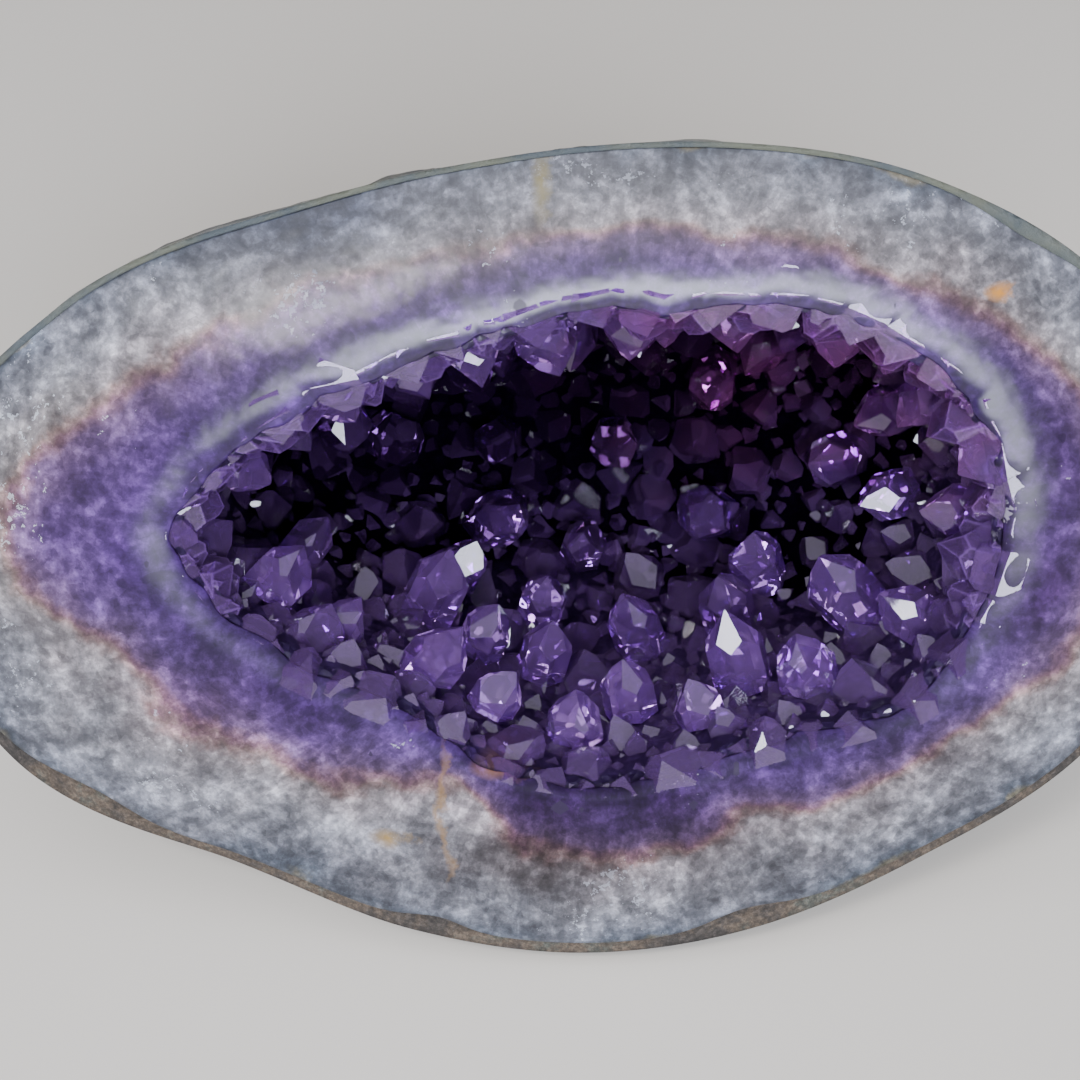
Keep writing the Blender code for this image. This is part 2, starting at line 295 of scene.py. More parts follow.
def sawn_base(piece):
    """Cuts the piece off at the base plane and closes it with a flat face."""
    shape = bmesh.new()
    shape.from_mesh(piece.data)
    cut = bmesh.ops.bisect_plane(
        shape, geom=shape.verts[:] + shape.edges[:] + shape.faces[:],
        plane_co=(0, 0, 0), plane_no=(0, 0, -1), clear_outer=True,
    )
    rim = [item for item in cut["geom_cut"] if isinstance(item, bmesh.types.BMEdge)]
    bmesh.ops.triangle_fill(shape, use_beauty=True, edges=rim, normal=(0, 0, -1))
    shape.to_mesh(piece.data)
    shape.free()
    piece.data.shade_smooth()
    for face in piece.data.polygons:
        if face.normal.z < FACING_DOWN and abs(face.center.z) < BASE_SLACK:
            face.use_smooth = False


def polish_edge(angle):
    """Where the polish starts on the rolled lip, in degrees of turn."""
    low = (1 - np.sin(angle)) / 2
    return EDGE_TURN_TOP + (EDGE_TURN_BOTTOM - EDGE_TURN_TOP) * low**2


def ragged_edge(angle, points):
    """The same with the unevenness of broken crystals, at points of the lip."""
    edge = polish_edge(angle)
    for height, span, seed in POLISH_WAVES:
        edge = edge + height * value_noise(points, span, seed)
    return edge


def build_wall():
    """The quartz: rows from the cavity's back over the lip and the dome to the stone's back."""
    angle = np.linspace(0, math.tau, WALL_COLUMNS, endpoint=False)
    mouth = mouth_radius(angle)
    band = curve_at(BAND_RADII, angle)
    rim = rim_radius(angle)
    rows, zone, rough = [], [], []

    def zone_at(radius):
        """0 at the cavity, 1 where the amethyst starts and 2 at the rind."""
        inner = (radius - mouth) / (band - mouth)
        outer = 1 + (radius - band) / (rim - band)
        return np.where(radius < band, inner, outer)

    height, span, seed = BED_LUMPS
    for tilt in np.radians(np.linspace(LAST_TILT, 0, BED_ROWS)):
        skin = cavity_skin(angle, np.full_like(angle, tilt))
        rows.append(skin * (1 + height * value_noise(skin, span, seed))[:, None])
        zone.append(np.full_like(angle, -math.sin(tilt)))
        rough.append(np.ones_like(angle))
    for turn in np.linspace(0, math.pi / 2, LIP_ROWS + 1)[1:]:
        skin = lip_skin(angle, np.full_like(angle, turn))
        lowered = np.clip((ragged_edge(angle, skin) - math.degrees(turn)) / EDGE_BLEND + 0.5, 0, 1)
        way = polar(-np.cos(turn) + 0 * angle, angle, -np.sin(turn) + 0 * angle)
        rows.append(skin - way * (EDGE_SINK * lowered * math.sin(turn))[..., None])
        zone.append(zone_at(mouth + lip_width(angle) * (1 - math.cos(turn))))
        rough.append(lowered)
    start = mouth + lip_width(angle)
    end = rim - rind_inset(angle, 0 * angle) - SKIN_GAP
    for share in np.linspace(0, 1, DOME_ROWS + 1)[1:]:
        radius = start + (end - start) * share
        rows.append(polar(radius, angle, dome_depth(angle, radius)))
        zone.append(zone_at(radius))
        rough.append(0 * angle)
    for tilt in np.radians(np.linspace(INNER_TILT, LAST_TILT, BACK_ROWS)):
        tilts = np.full_like(angle, tilt)
        rows.append(back_skin(angle, tilts, rind_inset(angle, tilts) + SKIN_GAP))
        zone.append(np.full_like(angle, BACK_ZONE))
        rough.append(np.ones_like(angle))
    points = np.stack(rows)
    piece = grid_mesh("quartz_wall_fine", points)
    put_attribute(piece, "zone", np.concatenate([np.stack(zone).ravel(), [-1.0, BACK_ZONE]]))
    put_attribute(piece, "rough", np.concatenate([np.stack(rough).ravel(), [1.0, 1.0]]))
    around = np.concatenate([np.tile(angle, len(rows)), [0, 0]])
    put_attribute(piece, "round_cos", np.cos(around))
    put_attribute(piece, "round_sin", np.sin(around))
    sawn_base(piece)
    return piece


RIND_COLUMNS = 640
RIND_ROWS = 96
RIND_EDGE_ROWS = 4
RIND_INNER_ROWS = 24
RIND_EDGE_TILTS = (3.4, 2.6)    # the edge's own rows take over between these, in degrees
CRUST_FULL = 0.12               # the tilt from which the relief has its full height, in radians
WORN_REACH = 0.3                # the tilt to which the rim's top is ground smooth, in radians
WORN_ONSET = 3.0                # how fast that starts round the stone from its sides


def crust_height(skin):
    """The relief of the rind: layered lumps with pits."""
    span, layers, seed = CRUST
    grow = layered_noise(skin, span, layers, seed)
    pits = 0.0
    for height, span, seed, least in CRUST_PITS:
        pits = pits + height * np.clip(value_noise(skin, span, seed) - least, 0, 1)
    return grow - CRUST_PIT_DEPTH * pits


def build_rind():
    """The crust: rows from its back pole to the rim and along its inner skin back again."""
    angle = np.linspace(0, math.tau, RIND_COLUMNS, endpoint=False)
    rows, worn = [], []
    ground = np.clip(np.sin(angle) * WORN_ONSET, 0, 1)
    last, first = RIND_EDGE_TILTS
    back = np.linspace(LAST_TILT, last, RIND_ROWS)
    edge = np.linspace(first, 0, RIND_EDGE_ROWS)
    for tilt in np.radians(np.concatenate([back, edge])):
        tilts = np.full_like(angle, tilt)
        grow = crust_height(back_skin(angle, tilts, 0 * angle)) * min(1.0, tilt / CRUST_FULL)
        rows.append(back_skin(angle, tilts, -grow))
        worn.append(ground * max(0.0, 1 - tilt / WORN_REACH))
    inner = rim_radius(angle) - rind_inset(angle, 0 * angle)
    rows.append(polar(inner, angle, dome_depth(angle, inner)))
    worn.append(ground)
    for tilt in np.radians(np.linspace(INNER_TILT, LAST_TILT, RIND_INNER_ROWS)):
        tilts = np.full_like(angle, tilt)
        rows.append(back_skin(angle, tilts, rind_inset(angle, tilts)))
        worn.append(0 * angle)
    points = np.stack(rows)
    piece = grid_mesh("rind_rough", points)
    put_attribute(piece, "worn", np.concatenate([np.stack(worn).ravel(), [0, 0]]))
    sawn_base(piece)
    return piece


def trimmed(shape, point, normal):
    """Cuts the shape off beyond a plane and closes it with a flat face."""
    cut = bmesh.ops.bisect_plane(
        shape, geom=shape.verts[:] + shape.edges[:] + shape.faces[:],
        plane_co=point, plane_no=normal, clear_outer=True,
    )
    rim = [item for item in cut["geom_cut"] if isinstance(item, bmesh.types.BMEdge)]
    if rim:
        bmesh.ops.contextual_create(shape, geom=rim)


FACE_SLOPE = 38.2               # a point's faces rise this far from the crystal's side, in degrees
CRYSTAL_TAPER = 0.03            # the foot is this share wider than the radius, the shoulder narrower
SQUEEZE = (0.86, 1.16)          # how far a crystal is flattened
LARGE_FACES = (0.0, 0.12)       # how far a point's large and small faces are lowered, over the radius
SMALL_FACES = (0.2, 0.62)
BRIGHT_EDGE = 0.3               # width of a lip crystal's face border that is painted lighter, as light shining through its thin edges
STEP = 1e-3                     # of an angle, for a surface's slope


def crystal_shape(radius, length, root, draw):
    """A closed six-sided crystal along +z; three faces of its point are larger than the others."""
    shape = bmesh.new()
    bmesh.ops.create_cone(
        shape, cap_ends=True, segments=6,
        radius1=radius * (1 + CRYSTAL_TAPER), radius2=radius * (1 - CRYSTAL_TAPER),
        depth=length + root, matrix=Matrix.Translation((0, 0, (length - root) / 2)),
    )
    squeeze = draw.uniform(*SQUEEZE)
    bmesh.ops.scale(shape, vec=(squeeze, 1 / squeeze, 1), verts=shape.verts)
    slope = math.radians(FACE_SLOPE)
    for side in range(6):
        turn = math.tau * (side + 0.5) / 6 + draw.uniform(-0.04, 0.04)
        flat = math.cos(slope)
        normal = Vector((math.cos(turn) * flat, math.sin(turn) * flat, math.sin(slope)))
        lowered = draw.uniform(*(SMALL_FACES if side % 2 else LARGE_FACES))
        trimmed(shape, Vector((0, 0, length - lowered * radius)), normal)
    return shape


def new_store():
    return {"verts": [], "faces": [], "edge": []}


def add_shape(store, shape, place, edge=()):
    """Adds a small bmesh to the lists of a joined mesh."""
    base = len(store["verts"])
    shape.verts.index_update()
    store["verts"] += [place @ vertex.co for vertex in shape.verts]
    store["edge"] += [1.0 if vertex in edge else 0.0 for vertex in shape.verts]
    for face in shape.faces:
        store["faces"].append([base + vertex.index for vertex in face.verts])


def joined(name, store):
    piece = face_piece(name, np.array(store["verts"]), store["faces"])
    put_attribute(piece, "edge", store["edge"])
    return piece


def cavity_frame(angle, tilt):
    """A point of the cavity's wall with its inward normal."""
    here = cavity_skin(np.array(angle), np.array(tilt))
    right = cavity_skin(np.array(angle + STEP), np.array(tilt)) - here
    inward = cavity_skin(np.array(angle), np.array(tilt + STEP)) - here
    normal = Vector(np.cross(inward, right)).normalized()
    centre = Vector((0, 0, -CAVITY_DEPTH / 2))
    here = Vector(here)
    return here, normal if normal.dot(centre - here) > 0 else -normal


def aimed(axis, draw, lean):
    """A turn that carries +z near the axis, leaning off it by up to lean degrees, with a free spin."""
    return (
        axis.to_track_quat("Z", "Y").to_matrix().to_4x4()
        @ Matrix.Rotation(draw.uniform(0, math.tau), 4, "Z")
        @ Matrix.Rotation(math.radians(draw.uniform(0, lean)), 4, "X")
        @ Matrix.Rotation(draw.uniform(0, math.tau), 4, "Z")
    )


def polish_plane(angle, turn):
    """A point of the rolled lip and the lip's outward normal there."""
    here = lip_skin(np.array(angle), np.array(turn))
    across = lip_skin(np.array(angle + STEP), np.array(turn)) - here
    along = lip_skin(np.array(angle), np.array(turn + STEP)) - here
    normal = Vector(np.cross(along, across)).normalized()
    return Vector(here), normal if normal.z > 0 else -normal


def polished_off(shape, place, angle):
    """Trims a placed crystal where it would stand above the polished lip."""
    back = place.inverted()
    for turn in POLISH_TURNS if math.sin(angle) > LOWER_LIP else (FLAT_TURN,):
        point, outward = polish_plane(angle, math.radians(turn))
        way = (back.to_3x3() @ outward).normalized()
        trimmed(shape, back @ (point - outward * POLISH_SINK), way)


def cad_crystal_middles():
    back = TO_WORLD.inverted()
    middles = []
    for name, node in sorted(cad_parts.items()):
        if name.startswith("crystal"):
            corners = [back @ (node.matrix_world @ vertex.co / MM) for vertex in node.data.vertices]
            middles.append(np.array(sum(corners, Vector()) / len(corners)))
    return np.array(middles)


# The druse's crystals, largest first: spacing, radius, least and greatest length over radius, tries,
# and how far they keep from the middle of a large CAD crystal.
DRUSE_SIZES = (
    (7.4, 4.1, 1.1, 1.7, 900, 5.6),
    (4.9, 2.9, 1.0, 1.6, 2400, 4.4),
    (3.1, 1.9, 0.9, 1.5, 4800, 2.5),
    (2.1, 1.2, 0.8, 1.5, 6500, 0.0),
)
DRUSE_LEAN = 28.0
DRUSE_ROOT = 3.0
LIP_SHARE = 0.3                 # places tried on the lip for each one in the cavity
NEAR_LIP = 0.35                 # below this level a crystal may reach the polish and is trimmed
LAST_LEVEL_TILT = 1.55          # radians


def build_druse():
    """The crystals that line the cavity, in an upper and a lower half."""
    draw = random.Random(SEED)
    stores = {"druse_upper": new_store(), "druse_lower": new_store()}
    placed = np.zeros((0, 3))
    middles = cad_crystal_middles()
    for gap, size, least, greatest, tries, clear in DRUSE_SIZES:
        for _ in range(tries):
            angle = draw.uniform(0, math.tau)
            level = draw.uniform(-LIP_SHARE, 1.0)
            if level > 0:
                spot, normal = cavity_frame(angle, min(LAST_LEVEL_TILT, math.asin(level)))
            else:
                turn = math.radians(polish_edge(angle)) * level / -LIP_SHARE
                spot, normal = polish_plane(angle, turn)
            here = np.array(spot)
            if len(placed) and (np.linalg.norm(placed - here, axis=1) < gap).any():
                continue
            if (np.linalg.norm(middles - here, axis=1) < clear).any():
                continue
            placed = np.vstack([placed, here])
            radius = size * draw.uniform(0.8, 1.15)
            shape = crystal_shape(radius, radius * draw.uniform(least, greatest), DRUSE_ROOT, draw)
            sink = EDGE_SINK if level < 0 else 0.0
            place = Matrix.Translation(spot - normal * sink) @ aimed(normal, draw, DRUSE_LEAN)
            if level < NEAR_LIP:
                polished_off(shape, place, angle)
            if len(shape.faces) > 3:
                add_shape(stores["druse_upper" if math.sin(angle) > 0 else "druse_lower"], shape, place)
            shape.free()
    return [joined(name, store) for name, store in stores.items()]


# Rows of crystals that hang from the lip: least and greatest turn of the root, radius, dip and
# spacing over radius, in degrees and millimetres.  The dip runs from across the mouth to straight
# into the stone.
HANGING_ROWS = (
    (2, 12, 3.0, 4.8, 20, 48, 1.5, 2.0),
    (0, 4, 3.0, 4.4, 45, 70, 1.8, 2.6),
    (8, 20, 1.2, 2.4, 20, 55, 1.5, 3.0),
)
HANG_BELOW = 0.85               # how far under the lip they start, over their radius
HANG_IN = 0.5                   # how far towards the mouth's middle they start, over their radius
HANG_LENGTHS = (1.6, 2.2)       # over the radius
HANG_ROOT = 2.5
HANG_LEAN = 16
HANGING_FROM = -15.0            # degrees round the face where the hanging crystals start and stop
HANGING_TO = 197.0


def build_lip_crystals():
    """Crystals that hang from the upper lip, cut flush with the polish where they reach it."""
    draw = random.Random(SEED + 1)
    store = new_store()
    for low_turn, high_turn, low_size, high_size, low_dip, high_dip, near, far in HANGING_ROWS:
        angle = math.radians(HANGING_FROM + draw.uniform(0, 5))
        while angle < math.radians(HANGING_TO):
            mouth = float(mouth_radius(angle))
            radius = draw.uniform(low_size, high_size)
            turn = math.radians(draw.uniform(low_turn, high_turn))
            point, outward = polish_plane(angle, turn)
            inward = Vector((-math.cos(angle), -math.sin(angle), 0))
            dip = math.radians(draw.uniform(low_dip, high_dip))
            axis = inward * math.cos(dip) + Vector((0, 0, -1)) * math.sin(dip)
            shape = crystal_shape(radius, radius * draw.uniform(*HANG_LENGTHS), HANG_ROOT, draw)
            low_spot = point - inward * radius * HANG_IN - Vector((0, 0, radius * HANG_BELOW))
            place = Matrix.Translation(low_spot) @ aimed(axis, draw, HANG_LEAN)
            polished_off(shape, place, angle)
            if len(shape.faces) > 3:
                # Insets each face so that its outer ring can carry painted light along the edges and be
                # less clear.
                outer = set(shape.verts)
                bmesh.ops.inset_individual(
                    shape, faces=shape.faces[:], thickness=BRIGHT_EDGE, use_even_offset=True)
                add_shape(store, shape, place, outer)
            shape.free()
            angle += radius * draw.uniform(near, far) / mouth
    return joined("lip_crystals", store)


# ---------------------------------------------------------------- materials
class Nodes:
    """Short calls for building a material's node tree."""

    def __init__(self, name):
        self.material = bpy.data.materials.new(name)
        self.material.use_nodes = True
        self.tree = self.material.node_tree
        self.shader = self.tree.nodes["Principled BSDF"]

    def add(self, kind, **settings):
        node = self.tree.nodes.new(kind)
        for key, value in settings.items():
            setattr(node, key, value)
        return node

    def link(self, source, target):
        self.tree.links.new(source, target)

    def attribute(self, name):
        return self.add("ShaderNodeAttribute", attribute_name=name).outputs["Fac"]

    def math(self, operation, first, second=None, clamp=False):
        node = self.add("ShaderNodeMath", operation=operation, use_clamp=clamp)
        for slot, value in enumerate((first, second)):
            if value is None:
                continue
            if isinstance(value, (int, float)):
                node.inputs[slot].default_value = value
            else:
                self.link(value, node.inputs[slot])
        return node.outputs[0]

    def ramp(self, source, stops):
        """Colours, or greys given as one number, at positions from 0 to 1."""
        node = self.add("ShaderNodeValToRGB")
        elements = node.color_ramp.elements
        while len(elements) < len(stops):
            elements.new(0.5)
        for element, (position, colour) in zip(elements, stops):
            element.position = position
            element.color = (*(colour if isinstance(colour, tuple) else (colour,) * 3), 1.0)
        self.link(source, node.inputs["Fac"])
        return node.outputs["Color"]

    def noise(self, vector, scale, detail=4.0, roughness=0.55, distortion=0.0):
        node = self.add("ShaderNodeTexNoise")
        node.inputs["Scale"].default_value = scale
        node.inputs["Detail"].default_value = detail
        node.inputs["Roughness"].default_value = roughness
        node.inputs["Distortion"].default_value = distortion
        self.link(vector, node.inputs["Vector"])
        return node.outputs["Fac"]

    def voronoi(self, vector, scale, feature="F1", output="Distance", metric="EUCLIDEAN"):
        node = self.add("ShaderNodeTexVoronoi", feature=feature, distance=metric)
        node.inputs["Scale"].default_value = scale
        self.link(vector, node.inputs["Vector"])
        return node.outputs[output]

    def cell_numbers(self, vector, scale, metric="EUCLIDEAN"):
        """Random numbers from 0 to 1 that each voronoi cell keeps all over."""
        split = self.add("ShaderNodeSeparateColor")
        self.link(self.voronoi(vector, scale, output="Color", metric=metric), split.inputs[0])
        return split.outputs

    def centred(self, value, width):
        """A noise moved to lie round 0 and scaled to a width."""
        return self.math("MULTIPLY", self.math("SUBTRACT", value, 0.5), width)

    def mix(self, factor, first, second, blend="MIX"):
        node = self.add("ShaderNodeMix", data_type="RGBA", blend_type=blend)
        for slot, value in ((0, factor), (6, first), (7, second)):
            if isinstance(value, (int, float)):
                node.inputs[slot].default_value = value
            elif isinstance(value, tuple):
                node.inputs[slot].default_value = (*value, 1.0)
            else:
                self.link(value, node.inputs[slot])
        return node.outputs[2]

    def position(self):
        return self.add("ShaderNodeTexCoord").outputs["Object"]

    def bump(self, height, strength, distance):
        node = self.add("ShaderNodeBump")
        node.inputs["Strength"].default_value = strength
        node.inputs["Distance"].default_value = distance
        self.link(height, node.inputs["Height"])
        self.link(node.outputs["Normal"], self.shader.inputs["Normal"])

    def set(self, **values):
        for key, value in values.items():
            self.shader.inputs[key.replace("_", " ")].default_value = value


def in_face_frame(nodes):
    """The shading point's x, y and z in the face frame, in millimetres."""
    inside = nodes.add("ShaderNodeMapping", vector_type="TEXTURE")
    nodes.link(nodes.position(), inside.inputs["Vector"])
    inside.inputs["Location"].default_value = FACE_ORIGIN * MM
    inside.inputs["Rotation"].default_value = (math.radians(90 - LEAN), 0, 0)
    inside.inputs["Scale"].default_value = (MM, MM, MM)
    split = nodes.add("ShaderNodeSeparateXYZ")
    nodes.link(inside.outputs[0], split.inputs[0])
    return split.outputs[0], split.outputs[1], split.outputs[2]


PATCH_RAGGED = 1.6              # how ragged a patch's edge is, over its reach


def patch(nodes, across, up, centre, reach, ragged):
    """A mask that is 1 at a centre of the face and fades to 0 at its reach, both in millimetres."""
    side = nodes.math("DIVIDE", nodes.math("SUBTRACT", across, centre[0]), reach[0])
    rise = nodes.math("DIVIDE", nodes.math("SUBTRACT", up, centre[1]), reach[1])
    away = nodes.math("ADD", nodes.math("MULTIPLY", side, side), nodes.math("MULTIPLY", rise, rise))
    away = nodes.math("ADD", nodes.math("SQRT", away), nodes.centred(ragged, PATCH_RAGGED))
    return nodes.math("SUBTRACT", 1.0, away, clamp=True)


# Stains of the polished face: centre, reach, colour, strength.
STAINS = (
    ((-6.0, 45.0), (1.6, 5.5), (0.20, 0.16, 0.055), 0.8),
    ((-18.5, -38.0), (1.0, 13.0), (0.30, 0.17, 0.06), 0.7),
    ((-26.0, -42.5), (3.5, 2.0), (0.36, 0.22, 0.05), 0.8),
    ((53.0, 31.5), (2.0, 1.5), (0.50, 0.22, 0.04), 1.2),
    ((57.0, 42.0), (1.8, 1.2), (0.02, 0.035, 0.03), 1.6),
    ((-10.5, -31.0), (5.0, 2.2), (0.34, 0.16, 0.07), 0.8),
)
STAIN_WANDER = 9.0              # how far the stains stray sideways

# Darker and lighter patches of the polished face, partly its own tone and partly painted shade and
# painted light, such as the darker lower band and the lighter left side: centre, reach, tint.
TONE_AND_PAINTED_LIGHT_PATCHES = (
    ((-63.0, 4.0), (24.0, 17.0), (1.7, 1.75, 1.6)),
    ((3.0, -36.0), (28.0, 10.0), (0.42, 0.30, 0.40)),
    ((58.0, -2.0), (12.0, 22.0), (0.78, 0.62, 0.70)),
    ((10.0, 47.0), (26.0, 7.0), (0.78, 0.78, 0.78)),
    ((-33.0, 40.0), (30.0, 12.0), (0.38, 0.41, 0.50)),
    ((0.0, -46.0), (48.0, 10.0), (0.50, 0.47, 0.47)),
    ((48.0, -32.0), (18.0, 10.0), (0.66, 0.64, 0.66)),
    ((-70.0, 22.0), (16.0, 14.0), (1.35, 1.35, 1.35)),
    ((-45.0, -21.0), (22.0, 9.0), (0.82, 0.72, 0.82)),
)

# Where broken grains glitter on the polished face, with more pale specks painted in as painted glints:
# centre and reach.
GLITTER = (
    ((-13.5, 37.0), (4.0, 5.0)),
    ((-42.0, 32.0), (14.0, 5.0)),
    ((4.0, 46.0), (16.0, 3.5)),
    ((36.0, -21.0), (10.0, 4.0)),
    ((-62.0, 14.0), (9.0, 7.0)),
    ((52.0, 30.0), (6.0, 5.0)),
)


# The polished quartz's colours from the cavity (0) through the amethyst's edge (0.5) to the rind (1).
BANDS = (
    (0.00, (0.026, 0.010, 0.060)),
    (0.14, (0.036, 0.016, 0.074)),
    (0.30, (0.056, 0.030, 0.096)),
    (0.42, (0.088, 0.052, 0.110)),
    (0.475, (0.125, 0.070, 0.090)),
    (0.505, (0.165, 0.112, 0.108)),
    (0.55, (0.172, 0.152, 0.158)),
    (0.72, (0.152, 0.150, 0.165)),
    (0.88, (0.114, 0.118, 0.138)),
    (0.955, (0.07, 0.08, 0.10)),
    (0.99, (0.10, 0.09, 0.065)),
)
SCALLOPS = ((95.0, 0.32), (260.0, 0.12))   # voronoi scale and height of the bands' scallops
WOBBLE = (110.0, 6, 0.65)
BAND_WOBBLE = 0.5
BAND_SHIFT = 0.22

# Clouding: the noise's scale, detail, roughness and distortion, how much it counts, and its greys.
CLOUDS = ((120.0, 6, 0.62, 0.6), 0.85, ((0.32, 0.42), (0.5, 0.9), (0.66, 1.9)))
VEIL = ((0.45, 6, 0.65, 0.8), 0.45, ((0.32, 0.55), (0.5, 1.0), (0.66, 1.8)))
MOTTLE = ((420.0, 5, 0.7), 0.8, ((0.32, 0.42), (0.5, 0.92), (0.68, 2.1)))
VEIL_SPACE = (("round_cos", 60), ("round_sin", 60), ("zone", 6))   # stretches the veil along the bands
GRAIN_SCALE = 850.0
GRAIN_SHARE = 0.6
GRAIN_GREYS = ((0.0, 0.7), (1.0, 1.4))

# Pale specks painted into the quartz: partly white flecks in the stone, partly painted glints of broken
# grains.
SPARKS = (900.0, 3, 0.7)
SPARK_CROWDS = (60.0, 2)
SPARK_LEAST = 0.41
SPARK_SHARE = 0.5
FLECK_AND_GLINT_COLOUR = (0.50, 0.52, 0.58)
GLITTER_SHARE = 0.22

CHIP_SCALE = 210.0
CHIP_SMALLEST = 0.35            # cells with less than this have no chip
CHIP_REACH = 0.5
CHIP_RARITY = 0.6               # the share of the other cells that have none either
CHIP_ZONE = 0.75                # chips lie nearer the cavity than this
# The chips' hollows are coloured almost black, as painted shade.
CHIP_HOLLOW_SHADE_SHARE = 0.85
CHIP_HOLLOW_SHADE_COLOUR = (0.025, 0.016, 0.04)
EDGE_SHARE = 0.7
EDGE_COLOUR = (0.012, 0.006, 0.026)

# The dark bed that the crystals stand on, made darker inwards and above by painted shade: its colours
# from the mouth inwards, how fast the painted shade deepens them, more of it above than below, and how
# fast the bed takes over from the bands.
BED = ((0.0, (0.050, 0.024, 0.090)), (0.20, (0.026, 0.012, 0.050)), (0.42, (0.0008, 0.0003, 0.0018)))
BED_PAINTED_SHADE = 0.45
BED_PAINTED_SHADE_ABOVE = 0.85
BED_START = 8.0
BED_MATT = 4.0                  # how fast its gloss goes

ROUGHNESS_BY_HEIGHT = ((0.2, 0.6), (0.6, 0.3))
BROKEN_ROUGHNESS = (0.5, 0.5, 0.5)
GLEAM_ABOVE = 0.5
GLEAM_LEAST = 0.12
CRUMB_SCALE = 700.0
LIP_CRUMBS = 0.5
SPARK_CRUMBS = 0.15
WAVES = (85.0, 3, 0.5)
WAVE_HEIGHT = 0.55


def clouded(nodes, colour, place, noise, share, greys):
    return nodes.mix(share, colour, nodes.ramp(nodes.noise(place, *noise), greys), "MULTIPLY")


def band_colour(nodes, here, zone, wobble):
    """The quartz's bands with scalloped edges."""
    for scale, height in SCALLOPS:
        scallop = nodes.voronoi(here, scale, "SMOOTH_F1")
        zone = nodes.math("ADD", zone, nodes.math("MULTIPLY", scallop, height))
    zone = nodes.math("ADD", zone, nodes.centred(wobble, BAND_WOBBLE))
    zone = nodes.math("SUBTRACT", zone, BAND_SHIFT)
    return nodes.ramp(nodes.math("MULTIPLY", zone, 0.5, clamp=True), BANDS)


def chipped(nodes, here, zone):
    """A mask of the small angular chips near the cavity."""
    size, pick, _ = nodes.cell_numbers(here, CHIP_SCALE, "MANHATTAN")
    reach = nodes.math("MULTIPLY", nodes.math("SUBTRACT", size, CHIP_SMALLEST), CHIP_REACH)
    mask = nodes.math("LESS_THAN", nodes.voronoi(here, CHIP_SCALE, metric="MANHATTAN"), reach)
    mask = nodes.math("MULTIPLY", mask, nodes.math("LESS_THAN", zone, CHIP_ZONE))
    return nodes.math("MULTIPLY", mask, nodes.math("GREATER_THAN", pick, CHIP_RARITY))


